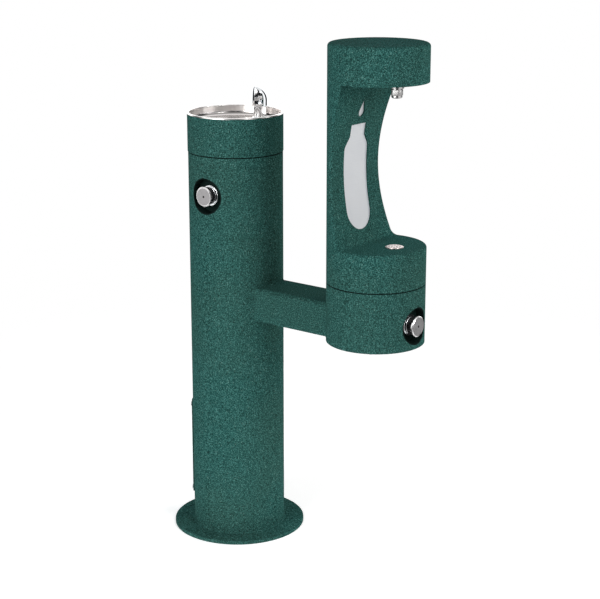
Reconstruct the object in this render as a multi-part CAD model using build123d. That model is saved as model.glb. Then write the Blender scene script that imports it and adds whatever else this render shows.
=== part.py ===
from build123d import *
import math
import os

# Pedestal drinking fountain with a bottle filler on a side arm.
# +Z up, origin on the floor at the pedestal's axis, +X along the arm to the bottle filler.
# The fountain's button faces -Y. The filler's button and alcove face +X. Millimetres.

# ------------------------------------------------------------------ columns
pipe_radius = 109.55        # both columns are 8 inch steel pipe
pedestal_wall = 4.8
filler_wall = 3.0
seam_gap = 3.0              # open groove between a column's two lengths
seam_depth = 2.6            # how far the groove's filler ring stands back
coupling_length = 36.0      # sleeve that joins two lengths of pipe
coupling_thickness = 4.0
weld_gap = 0.1              # between parts that are welded or screwed together
past = 1.0                  # how far a cutting shape runs past the face that it cuts
well_past = 10.0            # the same, across a curved face

# ------------------------------------------------------------------ base
flange_radius = 157.0
flange_thickness = 8.0
flange_bore_radius = 92.0
anchor_circle_radius = 128.0
anchor_hole_radius = 5.5
anchor_count = 6
anchor_first_bearing = -90.0
flange_edge_chamfer = 1.0

# ------------------------------------------------------------------ fountain heights
collar_height = 85.8        # seam's top to the underside of the rim
collar_step = 1.05          # collar's surface beyond the pedestal's
collar_wall = 3.0
rim_z = 1007.0              # highest point of the basin's rim
rim_height = 3.2
rim_overhang = 0.3
rim_round = 1.5

# ------------------------------------------------------------------ basin and bubbler
basin_sheet = 1.5
basin_fit = 0.2
basin_depth = 24.0          # rim to the floor's edge
basin_floor_fall = 4.0      # edge of the floor to the drain
basin_corner_radius = 10.0
bubbler_reach = 80.0        # pedestal axis to bubbler axis
bubbler_bearing = 84.5
bubbler_pad_radius = 18.0
bubbler_pad_rise = 1.0
bubbler_foot_radius = 17.0
bubbler_foot_height = 2.6
bubbler_foot_chamfer = 1.2
bubbler_neck_chamfer = 1.0
bubbler_neck_radius = 15.5
bubbler_neck_height = 28.5
bubbler_shank_radius = 8.0
bubbler_shank_length = 34.0
bubbler_nut_height = 7.0
bubbler_nut_across = 27.0
hood_radius = 19.2
hood_height = 44.5
hood_straight_height = 11.0  # upright part below the dome
hood_lean = 0.75            # how far the dome's top stands forward, as a share of the radius
hood_lean_bearing = -105.0  # the way the dome leans
mouth_bearing = -62.0       # the way the mouth faces
hood_sections = 6
hood_top_angle = 82.0       # the dome ends in a small flat at this angle
mouth_width = 19.0
mouth_sill = 5.0
mouth_top = 33.0
mouth_depth = 25.0
jet_radius = 4.5
jet_bore_radius = 1.6
jet_height = 12.0
jet_round = 1.5
jet_seat = 1.5              # depth left under the jet in the hood

# ------------------------------------------------------------------ floor drains
strainer_sheet = 1.5
strainer_hole_radius = 2.0
strainer_edge_round = 0.6
strainer_rings = ((0.32, 6), (0.68, 12))  # share of the radius, number of holes
strainer_ledge = 1.5        # ledge of the drain's lip outside the strainer
drain_lip = 1.5
drain_clearance = 0.2
basin_drain_radius = 19.0
basin_drain_lip_radius = 25.0
basin_drain_length = 52.0
basin_drain_wall = 2.0
basin_nut_height = 9.0
basin_nut_across = 56.0
platform_drain_radius = 15.0
platform_drain_lip_radius = 20.0
platform_drain_length = 34.0
platform_drain_wall = 2.0
hose_radius = 10.0
hose_wall = 2.0
hose_overlap = 16.0
hose_bend = 22.0
hose_drop = 84.0            # hose's top to its turn below the platform drain
hose_setback = 50.0         # filler's axis back to the hose's lower turn
hose_y = 26.0               # hose's place across the arm
hose_rise = 12.0            # above the arm's middle where it enters the arm
hose_fall = 2.0             # below the arm's middle where it leaves the arm
hose_wall_gap = 10.45       # pedestal's surface to the hose's turn in the arm
hose_run_in = 36.0          # straight run into the waste branch
waste_wall = 1.8
waste_end_z = 22.0          # bottom of the waste spigot, above the floor
waste_spigot_length = 30.0
waste_spigot_step = 1.0
waste_overlap = 24.0        # how far the tailpiece goes into the waste pipe
waste_branch_drop = 14.0    # below the arm's middle
waste_branch_reach = 46.0
waste_branch_wall = 2.4
bracket_rise = 86.0         # above the arm's top
bracket_height = 20.0
bracket_thickness = 4.0

# ------------------------------------------------------------------ push buttons
fountain_button_drop = 182.0  # rim to the button's axis
filler_button_rise = 51.0    # can's bottom to the button's axis
cup_bore_radius = 40.0
cup_wall = 2.0
cup_floor = 3.0
cup_depth = 26.0            # pipe's surface to the cup's floor
button_radius = 22.8
button_thickness = 6.0
button_bevel = 2.0
button_back_bevel = 0.8
button_proud = 5.0          # face beyond the pipe's surface
button_travel = 6.0
dimple_radius = 2.0
dimple_depth = 2.0
guide_radius = 15.0         # plunger guide behind the button
guide_clearance = 0.3
guide_rest = 2.0            # guide to the cup's floor when fully pressed
plunger_radius = 4.0
plunger_clearance = 0.3
plunger_rest = 1.0          # plunger's end to its bore's floor when fully pressed
bezel_radius = 24.0
bezel_height = 12.5
bezel_step_radius = 20.8
bezel_step_height = 3.2
bezel_lip = 1.8
bezel_edge_round = 1.4
bezel_step_round = 1.2
sleeve_radius = 18.5
thread_fit = 0.1
valve_nut_height = 8.0
valve_nut_across = 46.0
valve_radius = 19.0
valve_front = 60.0          # column's axis to the front of the valve's block
valve_back = 38.0
valve_floor = 4.0           # metal behind the plunger's bore
port_radius = 9.0
port_reach = 33.0
port_depth = 13.0
port_bore_radius = 2.5
spring_wire_radius = 0.8
spring_coil_radius = 10.5
spring_turns = 6
spring_play = 0.1

# ------------------------------------------------------------------ supply pipework
tube_radius = 4.76
tube_wall = 0.9
tube_fit = 0.12
tube_bend = 18.0
tube_end_gap = 0.2          # tube's end to the bottom of its socket
tube_wall_gap = 8.45        # pedestal's surface to the filler tube's first turn in the arm
tube_turn_in = 52.0         # where the filler tube leaves the tee's line, from the axis
tube_arm_y = -24.0          # filler tube's place across the arm
tube_arm_climb = 4.0
tube_can_gap = 11.55        # can's bore to the filler tube's turn inside the can
tube_valve_run = 20.0       # straight run into the filler valve's side
tube_valve_reach = 66.0     # filler valve's axis to the supply tube beside it
riser_reach = 62.0          # filler valve's axis to the nozzle tube beside it
riser_climb = 55.0
riser_turn = 33.5           # above the can's seam
riser_y = 30.0
riser_gap = 20.0            # behind the alcove's sheet
riser_top = 39.0            # above the head's floor
riser_over = 55.0
bubbler_tube_drops = (53.0, 42.0, 32.0)  # turns of the bubbler's tube below its shank
bubbler_tube_side = 50.0    # passes the waste pipe at this distance from the axis
supply_y = -49.0            # rising supply line behind the front of the pedestal
inlet_radius = 10.65
inlet_wall = 2.0
inlet_end_z = 16.0
inlet_thread_radius = 10.2
inlet_thread_length = 22.0
stop_valve_z = 190.0
stop_valve_length = 64.0
stop_valve_radius = 16.0
stop_socket_depth = 16.0
stop_end_length = 12.0      # hexagon end of the valve
stop_end_step = 4.0         # hexagon, narrower than the body
handle_heel = 9.0           # lever's length below its stem
handle_round = 5.0
stem_fit = 0.05
bonnet_radius = 9.0
bonnet_reach = 26.0
stop_stem_radius = 4.0
stop_stem_reach = 33.0
handle_length = 60.0
handle_width = 14.0
handle_thickness = 3.0
handle_clearance = 0.3
stem_nut_across = 8.0
stem_nut_height = 3.0
tee_radius = 9.0
tee_half_length = 18.0
water_bore_radius = 3.5      # through the tee, the stop valve and the nozzle

# ------------------------------------------------------------------ access panel
panel_bearing = 180.0
panel_half_angle = 40.0
panel_bottom_z = 70.0
panel_top_z = 308.0
panel_thickness = 2.0
panel_gasket = 1.0
panel_opening_margin = 24.0
panel_corner_radius = 12.0
panel_screw_inset = 12.0
panel_screw_radius = 2.5
panel_screw_length = 9.0
screw_head_radius = 5.0
screw_head_height = 2.6
screw_clearance = 0.15
screw_head_round = 1.2
screw_socket_across = 3.0
screw_socket_depth = 1.6

# ------------------------------------------------------------------ arm
filler_x = 400.0            # pedestal axis to filler axis
arm_rise = 0.0              # arm's underside above the can's bottom
arm_height = 80.0
arm_half_width = 55.0
arm_wall = 4.0
arm_corner_radius = 9.0
arm_passage_margin = 10.0   # column wall left inside the arm's bore
arm_passage_corner = 8.0

# ------------------------------------------------------------------ bottle filler
filler_bottom_z = 534.0
filler_can_height = 132.5
platform_height = 82.5      # seam's top to the bottle platform
alcove_height = 356.0
head_height = 82.0
head_cap_height = 12.0
head_edge_round = 8.0
alcove_radius = 475.0       # curve of the alcove's back, seen from the side
alcove_back = 51.5          # column's back to the alcove's deepest point
alcove_middle_rise = 168.0  # platform to the deepest point
alcove_corner_radius = 18.0
alcove_rim_round = 5.0
alcove_sheet = 3.0
can_cover_thickness = 3.0
cover_screw_count = 3
cover_tab_length = 12.0
cover_tab_radius = 9.0
cover_screw_inset = 8.0     # can's bore to a screw's axis
cover_first_bearing = 60.0
nozzle_reach = 48.0
nozzle_flange_radius = 15.5
nozzle_flange_height = 12.0
nozzle_radius = 12.0
nozzle_height = 32.0
nozzle_chamfer = 2.0
nozzle_flange_round = 2.0
nozzle_shank_radius = 8.0
nozzle_shank_length = 26.0
nozzle_nut_height = 8.0
nozzle_nut_across = 26.0
aerator_radius = 9.4
aerator_recess = 8.0
aerator_setback = 1.5
aerator_hole_radius = 0.9
aerator_rings = ((0.0, 1), (0.35, 6), (0.7, 12))

# ------------------------------------------------------------------ bottle and drop signs
sign_sheet = 1.5
sign_margin = 8.0
bottle_rise = 29.0          # platform to the bottle's bottom
bottle_height = 231.0
bottle_half_width = 43.5
bottle_neck_half_width = 27.5
bottle_neck_height = 26.0
bottle_shoulder_height = 23.0
bottle_shoulder_round = 20.0
bottle_neck_round = 4.0
bottle_bottom_flat = 0.5    # half of the flat left at the bottle's bottom
drop_gap = 16.0             # bottle's mouth to the drop
drop_height = 41.0
drop_radius = 10.0

# ------------------------------------------------------------------ worked out
BASE = (Align.CENTER, Align.CENTER, Align.MIN)
pedestal_bore = pipe_radius - pedestal_wall
alcove_deepest_x = alcove_back - pipe_radius
collar_radius = pipe_radius + collar_step
filler_bore = pipe_radius - filler_wall
collar_bore = collar_radius - collar_wall
collar_top_z = rim_z - rim_height
collar_seam_z = collar_top_z - collar_height - seam_gap
fountain_button_z = rim_z - fountain_button_drop
filler_seam_z = filler_bottom_z + filler_can_height
filler_button_z = filler_bottom_z + filler_button_rise
platform_z = filler_seam_z + seam_gap + platform_height
alcove_middle_z = platform_z + alcove_middle_rise
head_bottom_z = platform_z + alcove_height
head_top_z = head_bottom_z + head_height
bottle_bottom_z = platform_z + bottle_rise
bottle_top_z = bottle_bottom_z + bottle_height
drop_bottom_z = bottle_top_z + drop_gap
drop_tip_z = drop_bottom_z + drop_height
arm_bottom_z = filler_bottom_z + arm_rise
arm_top_z = arm_bottom_z + arm_height
arm_middle_z = arm_bottom_z + arm_height / 2
tee_z = arm_middle_z
waste_branch_z = arm_middle_z - waste_branch_drop
bracket_z = arm_top_z + bracket_rise
basin_radius = collar_bore - basin_fit
floor_edge_z = rim_z - basin_depth
floor_centre_z = floor_edge_z - basin_floor_fall
bubbler_x = bubbler_reach * math.cos(math.radians(bubbler_bearing))
bubbler_y = bubbler_reach * math.sin(math.radians(bubbler_bearing))
bubbler_pad_z = floor_edge_z + bubbler_pad_rise
bubbler_pad_bottom_z = floor_centre_z - basin_sheet
hood_bottom_z = bubbler_pad_z + bubbler_neck_height
waste_bore = basin_drain_radius + drain_clearance
waste_radius = waste_bore + waste_wall
nozzle_x = filler_x + nozzle_reach
filler_valve_x = filler_x + (valve_front + valve_back) / 2
cup_floor_front = pipe_radius - cup_depth
cup_floor_back = cup_floor_front - cup_floor
button_face = pipe_radius + button_proud
button_back = button_face - button_thickness
bezel_front = cup_floor_front + bezel_height
sleeve_front = bezel_front - bezel_lip - thread_fit
guide_back = cup_floor_front + button_travel + guide_rest
sleeve_bore = guide_radius + guide_clearance
socket_bore = tube_radius + tube_fit


# ------------------------------------------------------------------ plain shapes
def disc(radius, bottom, top, x=0.0, y=0.0):
    return Pos(x, y, bottom) * Cylinder(radius, top - bottom, align=BASE)


def ring(outer, inner, bottom, top, x=0.0, y=0.0):
    return disc(outer, bottom, top, x, y) - disc(inner, bottom - past, top + past, x, y)


def block(x_range, y_range, z_range):
    size = [high - low for low, high in (x_range, y_range, z_range)]
    centre = [(high + low) / 2 for low, high in (x_range, y_range, z_range)]
    return Pos(*centre) * Box(*size)


def hexagon(across, bottom, top, x=0.0, y=0.0):
    outline = RegularPolygon(across / 2, 6, major_radius=False)
    return Pos(x, y, bottom) * extrude(outline, top - bottom)


def nut(across, bore, bottom, top, x=0.0, y=0.0):
    return hexagon(across, bottom, top, x, y) - disc(bore, bottom - past, top + past, x, y)


def polar(radius, bearing):
    angle = math.radians(bearing)
    return radius * math.cos(angle), radius * math.sin(angle)


def outward(bearing, z):
    """Placing frame on a column's axis, with its own Z pointing out along the bearing."""
    x, y = polar(1.0, bearing)
    return Plane(origin=(0, 0, z), x_dir=(0, 0, 1), z_dir=(x, y, 0)).location


def pipe_run(points, outer, wall, bend=tube_bend):
    """Round tube along straight runs that are joined by arcs."""
    if len(points) > 2:
        path = FilletPolyline(*points, radius=bend)
    else:
        path = Line(*points)
    mouth = Plane(origin=path @ 0, z_dir=path % 0)
    full = sweep(mouth * Circle(outer), path=path)
    hollow = sweep(mouth * Circle(outer - wall), path=path)
    return full - hollow


def save(name, *shapes):
    shape = shapes[0] if len(shapes) == 1 else Compound(children=list(shapes))
    export_step(shape, f"parts/{name}.step")


# ------------------------------------------------------------------ base and pedestal
def base_flange():
    plate = ring(flange_radius, flange_bore_radius, 0, flange_thickness)
    plate = chamfer(plate.edges().group_by(Axis.Z)[-1].sort_by(SortBy.LENGTH)[-1], flange_edge_chamfer)
    for index in range(anchor_count):
        bearing = anchor_first_bearing + index * 360 / anchor_count
        x, y = polar(anchor_circle_radius, bearing)
        plate -= disc(anchor_hole_radius, -past, flange_thickness + past, x, y)
    return plate


def arm_passage(centre_x):
    """Hole through a column's wall inside the arm, for the supply tube and the drain hose."""
    half = arm_half_width - arm_wall - arm_passage_margin
    low = arm_bottom_z + arm_wall + arm_passage_margin
    high = arm_top_z - arm_wall - arm_passage_margin
    reach = pipe_radius + past
    sides = (0, reach) if centre_x == 0 else (centre_x - reach, centre_x)
    return fillet(block(sides, (-half, half), (low, high)).edges().filter_by(Axis.X), arm_passage_corner)


def panel_angle(distance):
    """Angle round the pipe, in degrees, that covers this distance on its surface."""
    return math.degrees(distance / pipe_radius)


def curved_plate(inner, outer, half_angle, bottom, top, corner):
    """Plate rolled to the pipe's curve, centred on the panel's bearing, with round corners."""
    shell = ring(outer, inner, bottom, top)
    half_width = outer * math.sin(math.radians(half_angle))
    outline = RectangleRounded(top - bottom, 2 * half_width, corner)
    stencil = outward(panel_bearing, (top + bottom) / 2) * extrude(outline, outer + well_past)
    return shell & stencil


def panel_screw_places():
    angle = panel_half_angle - panel_angle(panel_screw_inset)
    for side in (-1, 1):
        for z in (panel_bottom_z + panel_screw_inset, panel_top_z - panel_screw_inset):
            yield outward(panel_bearing + side * angle, z)


def drill_panel_screws(shape, radius):
    for place in panel_screw_places():
        shape -= place * disc(radius, pedestal_bore - well_past, pipe_radius + well_past)
    return shape


def access_opening():
    angle = panel_half_angle - panel_angle(panel_opening_margin)
    bottom = panel_bottom_z + panel_opening_margin
    top = panel_top_z - panel_opening_margin
    return curved_plate(pedestal_bore - past, pipe_radius + past, angle, bottom, top, panel_corner_radius)


def access_panel():
    inner = pipe_radius + panel_gasket + weld_gap
    plate = curved_plate(inner, inner + panel_thickness, panel_half_angle, panel_bottom_z,
                         panel_top_z, panel_corner_radius)
    return drill_panel_screws(plate, panel_screw_radius + screw_clearance)


def access_gasket():
    outer = pipe_radius + panel_gasket
    plate = curved_plate(pipe_radius + weld_gap, outer, panel_half_angle, panel_bottom_z, panel_top_z,
                         panel_corner_radius)
    return drill_panel_screws(plate - access_opening(), panel_screw_radius + screw_clearance)


def panel_screws():
    seat = pipe_radius + panel_gasket + panel_thickness + 2 * weld_gap
    screws = []
    for place in panel_screw_places():
        shank = disc(panel_screw_radius, seat - panel_screw_length, seat)
        head = disc(screw_head_radius, seat, seat + screw_head_height)
        head = fillet(head.edges().group_by(Axis.Z)[-1], screw_head_round)
        top = seat + screw_head_height
        socket = hexagon(screw_socket_across, top - screw_socket_depth, top + past)
        screws.append(place * (shank + head - socket))
    return screws


def cup_hole(bearing, z, centre_x=0.0):
    """Hole in a column's wall for a button's cup."""
    radius = cup_bore_radius + cup_wall + weld_gap
    return Pos(centre_x, 0, 0) * outward(bearing, z) * disc(radius, cup_floor_back, pipe_radius + well_past)


def pedestal_tube():
    pipe = ring(pipe_radius, pedestal_bore, flange_thickness, collar_seam_z)
    pipe -= cup_hole(-90, fountain_button_z)
    pipe -= arm_passage(0)
    pipe -= access_opening()
    return drill_panel_screws(pipe, panel_screw_radius + weld_gap)


def coupling(lower_bore, upper_bore, surface, seam_z):
    """Sleeve inside two lengths of pipe, with a bead that stands back in the seam."""
    middle = seam_z + seam_gap / 2
    low, high = middle - coupling_length / 2, middle + coupling_length / 2
    sleeve = disc(lower_bore - weld_gap, low, middle) + disc(upper_bore - weld_gap, middle, high)
    sleeve += disc(surface - seam_depth, seam_z, seam_z + seam_gap)
    return sleeve - disc(lower_bore - weld_gap - coupling_thickness, low - past, high + past)


def top_collar():
    return ring(collar_radius, collar_bore, collar_seam_z + seam_gap, collar_top_z)


# ------------------------------------------------------------------ basin and bubbler
def bowl_solid(radius, floor_edge, floor_centre, top, corner):
    outline = Polygon((0, floor_centre), (radius, floor_edge), (radius, top), (0, top), align=None)
    low_corner = outline.vertices().filter_by(lambda v: v.X > radius - past).sort_by(Axis.Y)[0]
    return revolve(Plane.XZ * fillet(low_corner, corner), Axis.Z)


def basin():
    outside = bowl_solid(basin_radius, floor_edge_z - basin_sheet, floor_centre_z - basin_sheet,
                         collar_top_z, basin_corner_radius + basin_sheet)
    rim = disc(collar_radius + rim_overhang, collar_top_z, rim_z)
    rim = fillet(rim.edges().group_by(Axis.Z)[-1], rim_round)
    inside = bowl_solid(basin_radius - basin_sheet, floor_edge_z, floor_centre_z, rim_z + past,
                        basin_corner_radius)
    bowl = outside + rim - inside
    inner_lip = bowl.edges().group_by(Axis.Z)[-1].sort_by(SortBy.LENGTH)[0]
    bowl = fillet(inner_lip, rim_round)
    bowl += disc(bubbler_pad_radius, bubbler_pad_bottom_z, bubbler_pad_z, bubbler_x, bubbler_y)
    bowl -= disc(bubbler_shank_radius + drain_clearance, bubbler_pad_bottom_z - past,
                 bubbler_pad_z + past, bubbler_x, bubbler_y)
    bowl -= disc(basin_drain_lip_radius + drain_clearance, floor_centre_z, floor_centre_z + well_past)
    return bowl - disc(basin_drain_radius + drain_clearance, floor_centre_z - well_past,
                       floor_centre_z + well_past)


def bubbler_neck():
    foot = disc(bubbler_foot_radius, bubbler_pad_z, bubbler_pad_z + bubbler_foot_height)
    foot = chamfer(foot.edges().group_by(Axis.Z)[-1], bubbler_foot_chamfer)
    neck = foot + disc(bubbler_neck_radius, bubbler_pad_z, bubbler_pad_z + bubbler_neck_height)
    neck = chamfer(neck.edges().group_by(Axis.Z)[-1], bubbler_neck_chamfer)
    shank_end = bubbler_pad_z - bubbler_shank_length
    neck += disc(bubbler_shank_radius, shank_end, bubbler_pad_z)
    neck -= disc(jet_bore_radius, shank_end - past, hood_bottom_z + past)
    neck -= disc(socket_bore, shank_end - past, shank_end + port_depth)
    return Pos(bubbler_x, bubbler_y, 0) * neck


def bubbler_hood():
    """Shield over the water jet: a leaning dome with an arched mouth."""
    dome_height = hood_height - hood_straight_height
    sections = [Circle(hood_radius)]
    for index in range(hood_sections + 1):
        angle = math.radians(hood_top_angle * index / hood_sections)
        share = math.cos(angle)
        lean_x, lean_y = polar(hood_lean * hood_radius * (1 - share), hood_lean_bearing)
        z = hood_straight_height + dome_height * math.sin(angle)
        sections.append(Pos(lean_x, lean_y, z) * Circle(hood_radius * share))
    body = loft(sections)
    arch_centre = mouth_top - mouth_width / 2
    arch = Pos(0, (mouth_sill + arch_centre) / 2) * Rectangle(mouth_width, arch_centre - mouth_sill)
    arch += Pos(0, arch_centre) * Circle(mouth_width / 2)
    tunnel = Pos(0, mouth_depth - hood_radius, 0) * extrude(Plane.XZ * arch, mouth_depth + well_past)
    body -= Rot(0, 0, mouth_bearing + 90) * tunnel
    body -= disc(jet_radius + drain_clearance, jet_seat, mouth_sill + past)
    body -= disc(jet_bore_radius, -past, mouth_sill)
    return Pos(bubbler_x, bubbler_y, hood_bottom_z) * body


def bubbler_jet():
    jet = disc(jet_radius, jet_seat, jet_height)
    jet = fillet(jet.edges().group_by(Axis.Z)[-1], jet_round)
    jet -= disc(jet_bore_radius, 0, jet_height + past)
    return Pos(bubbler_x, bubbler_y, hood_bottom_z) * jet


def bubbler_nut():
    return nut(bubbler_nut_across, bubbler_shank_radius + thread_fit,
               bubbler_pad_bottom_z - bubbler_nut_height, bubbler_pad_bottom_z, bubbler_x, bubbler_y)


# ------------------------------------------------------------------ drains
def drain_body(radius, wall, lip_radius, length, seat_z, x):
    """Flanged cup that hangs in a drain hole, with a recess for its strainer."""
    lip = disc(lip_radius, seat_z, seat_z + drain_lip, x)
    body = lip + disc(radius, seat_z - length, seat_z, x)
    body -= disc(lip_radius - strainer_ledge, seat_z + drain_lip / 2, seat_z + drain_lip + past, x)
    return body - disc(radius - wall, seat_z - length - past, seat_z + drain_lip + past, x)


def strainer(lip_radius, seat_z, x):
    """Round plate with rings of holes, in the recess of its drain."""
    radius = lip_radius - strainer_ledge - drain_clearance
    bottom = seat_z + drain_lip / 2
    plate = disc(radius, bottom, bottom + strainer_sheet, x)
    plate = fillet(plate.edges().group_by(Axis.Z)[-1], strainer_edge_round)
    for share, count in strainer_rings:
        for index in range(count):
            hole_x, hole_y = polar(share * radius, index * 360 / count)
            plate -= disc(strainer_hole_radius, bottom - past, bottom + strainer_sheet + past,
                          x + hole_x, hole_y)
    return plate


def basin_tailpiece():
    return drain_body(basin_drain_radius, basin_drain_wall, basin_drain_lip_radius,
                      basin_drain_length, floor_centre_z, 0)


def basin_drain_nut():
    top = floor_centre_z - basin_sheet
    return nut(basin_nut_across, basin_drain_radius + thread_fit, top - basin_nut_height, top)


def waste_pipe():
    top = floor_centre_z - basin_drain_length + waste_overlap
    spigot_top = waste_end_z + waste_spigot_length
    pipe = disc(waste_radius, spigot_top, top)
    pipe += disc(waste_radius - waste_spigot_step, waste_end_z, spigot_top)
    branch = Pos(0, 0, waste_branch_z) * Rot(0, 90, 0)
    pipe += branch * disc(hose_radius + drain_clearance + waste_branch_wall, 0, waste_branch_reach)
    pipe -= disc(waste_bore, spigot_top, top + past)
    pipe -= disc(waste_bore - waste_spigot_step, waste_end_z - past, spigot_top + past)
    pipe -= branch * disc(hose_radius - hose_wall, 0, waste_branch_reach + past)
    socket_start = waste_branch_reach - hose_overlap
    return pipe - branch * disc(hose_radius + drain_clearance, socket_start, waste_branch_reach + past)


def waste_bracket():
    """Ring clamp on the waste pipe, with a strap to the back of the pedestal."""
    low, high = bracket_z - bracket_height / 2, bracket_z + bracket_height / 2
    clamp_bore = waste_radius + weld_gap
    strap = block((-bracket_height / 2, bracket_height / 2), (clamp_bore, pedestal_bore),
                  (bracket_z - bracket_thickness / 2, bracket_z + bracket_thickness / 2))
    clamp = disc(clamp_bore + bracket_thickness, low, high) + strap
    return (clamp & disc(pedestal_bore - weld_gap, low, high)) - disc(clamp_bore, low - past, high + past)


def platform_drain():
    return drain_body(platform_drain_radius, platform_drain_wall, platform_drain_lip_radius,
                      platform_drain_length, platform_z, nozzle_x)


def drain_hose():
    top_z = platform_z - platform_drain_length + hose_overlap
    socket_x = waste_branch_reach - hose_overlap + tube_end_gap
    return pipe_run([(nozzle_x, 0, top_z), (nozzle_x, 0, top_z - hose_drop),
                     (filler_x - hose_setback, hose_y, arm_middle_z + hose_rise),
                     (pipe_radius + hose_wall_gap, hose_y, arm_middle_z - hose_fall),
                     (waste_branch_reach + hose_run_in, 0, waste_branch_z),
                     (socket_x, 0, waste_branch_z)], hose_radius, hose_wall, hose_bend)


# ------------------------------------------------------------------ push button and its valve
# Built with Z pointing out of the column from its axis, and X up the column.
def button_cup():
    outer = disc(cup_bore_radius + cup_wall, cup_floor_back, pipe_radius + past)
    cup = outer & (Rot(0, 90, 0) * Cylinder(pipe_radius, 4 * cup_bore_radius))
    cup -= disc(cup_bore_radius, cup_floor_front, pipe_radius + well_past)
    return cup - disc(sleeve_radius + thread_fit, cup_floor_back - past, cup_floor_front + past)


def button_bezel():
    step_z = bezel_front - bezel_step_height
    body = disc(bezel_radius, cup_floor_front, step_z)
    body = fillet(body.edges().group_by(Axis.Z)[-1], bezel_edge_round)
    collar = disc(bezel_step_radius, cup_floor_front, bezel_front)
    body += fillet(collar.edges().group_by(Axis.Z)[-1], bezel_step_round)
    body -= disc(sleeve_radius + thread_fit, cup_floor_front - past, bezel_front - bezel_lip)
    return body - disc(sleeve_bore, bezel_front - bezel_lip - past, bezel_front + past)


def button_cap():
    cap = disc(button_radius, button_back, button_face)
    cap = chamfer(cap.edges().group_by(Axis.Z)[-1], button_bevel)
    cap = chamfer(cap.edges().group_by(Axis.Z)[0], button_back_bevel)
    dimple = disc(dimple_radius, button_face - dimple_depth, button_face + past)
    return cap - dimple


def button_plunger():
    guide = disc(guide_radius, guide_back, button_back)
    rod_end = valve_back + valve_floor + button_travel + plunger_rest
    return guide + disc(plunger_radius, rod_end, guide_back)


def return_spring():
    low = valve_front + spring_wire_radius + spring_play
    high = guide_back - spring_wire_radius - spring_play
    coil = Helix(pitch=(high - low) / spring_turns, height=high - low, radius=spring_coil_radius)
    wire = Plane(origin=coil @ 0, z_dir=coil % 0) * Circle(spring_wire_radius)
    return Pos(0, 0, low) * sweep(wire, path=coil, is_frenet=True)


def push_valve():
    body = disc(valve_radius, valve_back, valve_front)
    body += disc(sleeve_radius, valve_front, sleeve_front)
    ports = Pos(0, 0, (valve_front + valve_back) / 2) * Rot(0, 90, 0)
    body += ports * Cylinder(port_radius, 2 * port_reach)
    body -= ports * Cylinder(port_bore_radius, 2 * port_reach + 2 * past)
    for side in (-1, 1):
        middle = side * (port_reach - port_depth / 2 + past / 2)
        body -= ports * Pos(0, 0, middle) * Cylinder(socket_bore, port_depth + past)
    body -= disc(sleeve_bore, valve_front, sleeve_front + past)
    return body - disc(plunger_radius + plunger_clearance, valve_back + valve_floor, valve_front + past)


def valve_nut():
    return nut(valve_nut_across, sleeve_radius + thread_fit,
               cup_floor_back - valve_nut_height, cup_floor_back)


# ------------------------------------------------------------------ supply pipework
def inlet_pipe():
    top = stop_valve_z - stop_valve_length / 2 + stop_socket_depth
    thread_top = inlet_end_z + inlet_thread_length
    pipe = disc(inlet_thread_radius, inlet_end_z, thread_top, 0, supply_y)
    pipe += disc(inlet_radius, thread_top, top, 0, supply_y)
    return pipe - disc(inlet_radius - inlet_wall, inlet_end_z - past, top + past, 0, supply_y)


def stop_valve():
    low, high = stop_valve_z - stop_valve_length / 2, stop_valve_z + stop_valve_length / 2
    body = disc(stop_valve_radius, low + stop_end_length, high - stop_end_length, 0, supply_y)
    body += hexagon(2 * stop_valve_radius - stop_end_step, low, high, 0, supply_y)
    to_panel = Pos(0, supply_y, stop_valve_z) * Rot(0, -90, 0)
    body += to_panel * disc(bonnet_radius, 0, bonnet_reach)
    body += to_panel * disc(stop_stem_radius, 0, stop_stem_reach)
    body -= disc(inlet_radius + weld_gap, low - past, low + stop_socket_depth, 0, supply_y)
    body -= disc(socket_bore, high - stop_socket_depth, high + past, 0, supply_y)
    return body - disc(water_bore_radius, low, high, 0, supply_y)


def stop_handle():
    """Lever that lies along the pipe while the water is on."""
    back = bonnet_reach + handle_clearance
    side_x = (-back - handle_thickness, -back)
    half = handle_width / 2
    lever = block(side_x, (supply_y - half, supply_y + half),
                  (stop_valve_z - handle_heel, stop_valve_z + handle_length))
    lever = fillet(lever.edges().filter_by(Axis.X), handle_round)
    hub = Pos(0, supply_y, stop_valve_z) * Rot(0, -90, 0)
    return lever - hub * disc(stop_stem_radius + stem_fit, back - past, back + handle_thickness + past)


def stop_handle_nut():
    low = bonnet_reach + 2 * handle_clearance + handle_thickness
    hub = Pos(0, supply_y, stop_valve_z) * Rot(0, -90, 0)
    return hub * nut(2 * stem_nut_across, stop_stem_radius + stem_fit, low, low + stem_nut_height)


def supply_tee():
    low, high = tee_z - tee_half_length, tee_z + tee_half_length
    body = disc(tee_radius, low, high, 0, supply_y)
    branch = Pos(0, supply_y, tee_z) * Rot(0, 90, 0)
    body += branch * disc(tee_radius, 0, tee_half_length)
    body -= disc(water_bore_radius, low, high, 0, supply_y)
    body -= branch * disc(water_bore_radius, 0, tee_half_length + past)
    body -= branch * disc(socket_bore, tee_half_length - port_depth, tee_half_length + past)
    body -= disc(socket_bore, low - past, low + port_depth, 0, supply_y)
    return body - disc(socket_bore, high - port_depth, high + past, 0, supply_y)


def supply_riser():
    """Tube lengths from the stop valve to the tee, and from the tee to the fountain's valve."""
    valve_end = stop_valve_z + stop_valve_length / 2 - stop_socket_depth
    tee_end = tee_half_length - port_depth
    button_end = fountain_button_z - port_reach + port_depth
    spans = ((valve_end + tube_end_gap, tee_z - tee_end - tube_end_gap),
             (tee_z + tee_end + tube_end_gap, button_end - tube_end_gap))
    return [pipe_run([(0, supply_y, low), (0, supply_y, high)], tube_radius, tube_wall)
            for low, high in spans]


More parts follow.
